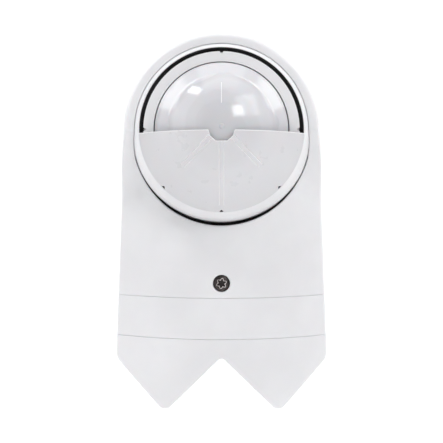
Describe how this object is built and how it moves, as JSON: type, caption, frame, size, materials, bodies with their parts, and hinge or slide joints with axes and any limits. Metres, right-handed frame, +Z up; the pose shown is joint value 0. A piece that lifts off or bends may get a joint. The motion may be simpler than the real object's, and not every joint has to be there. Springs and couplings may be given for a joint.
{
  "type": "motion sensor",
  "caption": "Wall-mounted outdoor infrared motion sensor: arched white housing with a double-pointed lower edge and an aimable ball head with a domed lens under a turning half mask.",
  "frame": {"origin": "on the rear mounting face, on the centreline, 36.6 mm below the ball head's centre", "axes": "+Z up along the wall, +Y into the wall, so the sensor faces -Y; +X to the right seen from the front"},
  "size_m": [0.0886, 0.0695, 0.1549],
  "materials": {
    "housing_plastic": "satin gloss white",
    "head_plastic": "satin gloss white",
    "lens_plastic": "milky translucent, smooth outside",
    "mask_plastic": "translucent, lightly frosted",
    "seal_rubber": "matt black",
    "joint_plastic": "matt black",
    "screw_steel": "zinc plated",
    "dark_steel": "dark stainless, recess bright at its edges",
    "board": "green solder mask",
    "block_plastic": "black",
    "relay_plastic": "blue",
    "capacitor_plastic": "yellow",
    "adjuster_plastic": "blue",
    "dial_plastic": "orange",
    "sensor_metal": "nickel",
    "window": "dark infrared window",
    "indicator_plastic": "clear red",
    "lead_sleeve": "white"
  },
  "bodies": {
    "housing": {"back_plate": "housing_plastic", "cover_seal": "seal_rubber", "front_cover": "housing_plastic", "control_band": "housing_plastic", "chin_cover": "housing_plastic", "cover_screw": "dark_steel", "socket_seal": "seal_rubber", "cable_grommet_left": "seal_rubber", "cable_grommet_right": "seal_rubber", "swivel_post": "joint_plastic", "post_screw_1": "screw_steel", "post_screw_2": "screw_steel", "main_board": "board", "board_screw_1": "screw_steel", "board_screw_2": "screw_steel", "board_screw_3": "screw_steel", "board_screw_4": "screw_steel", "terminal_block": "block_plastic", "terminal_screw_1": "screw_steel", "terminal_screw_2": "screw_steel", "terminal_screw_3": "screw_steel", "terminal_screw_4": "screw_steel", "relay": "relay_plastic", "film_capacitor": "capacitor_plastic", "electrolytic_capacitor": "block_plastic", "varistor": "relay_plastic", "fuse": "block_plastic", "lead_socket": "lead_sleeve", "head_lead": "lead_sleeve", "light_level_adjuster": "adjuster_plastic", "on_time_adjuster": "adjuster_plastic", "range_adjuster": "adjuster_plastic"},
    "swivel": {"swivel_cross": "joint_plastic"},
    "head": {"ball_front": "head_plastic", "ball_rear": "head_plastic", "head_frame": "joint_plastic", "frame_screw_1": "screw_steel", "frame_screw_2": "screw_steel", "frame_screw_3": "screw_steel", "lens_ring": "head_plastic", "lens_gasket": "seal_rubber", "fresnel_lens": "lens_plastic", "sensor_board": "board", "infrared_sensor": "sensor_metal", "sensor_window": "window", "light_sensor": "dial_plastic", "indicator": "indicator_plastic"},
    "mask": {"lens_mask": "mask_plastic"},
    "light_level_knob": {"light_level_dial": "dial_plastic"},
    "on_time_knob": {"on_time_dial": "dial_plastic"},
    "range_knob": {"range_dial": "dial_plastic"}
  },
  "joints": [
    {"name": "head_pan", "type": "hinge", "parent": "housing", "child": "swivel", "pos_m": [0, -0.038, 0.0366], "axis": [0, 0, 1], "range_deg": [-30, 30]},
    {"name": "head_tilt", "type": "hinge", "parent": "swivel", "child": "head", "pos_m": [0, -0.038, 0.0366], "axis": [1, 0, 0], "range_deg": [-20, 20]},
    {"name": "mask_turn", "type": "hinge", "parent": "head", "child": "mask", "pos_m": [0, -0.055, 0.0366], "axis": [0, -1, 0], "continuous": true},
    {"name": "light_level_turn", "type": "hinge", "parent": "housing", "child": "light_level_knob", "pos_m": [-0.017, -0.03, -0.0362], "axis": [0, -1, 0], "range_deg": [-135, 135]},
    {"name": "on_time_turn", "type": "hinge", "parent": "housing", "child": "on_time_knob", "pos_m": [0, -0.03, -0.0362], "axis": [0, -1, 0], "range_deg": [-135, 135]},
    {"name": "range_turn", "type": "hinge", "parent": "housing", "child": "range_knob", "pos_m": [0.017, -0.03, -0.0362], "axis": [0, -1, 0], "range_deg": [-135, 135]}
  ]
}
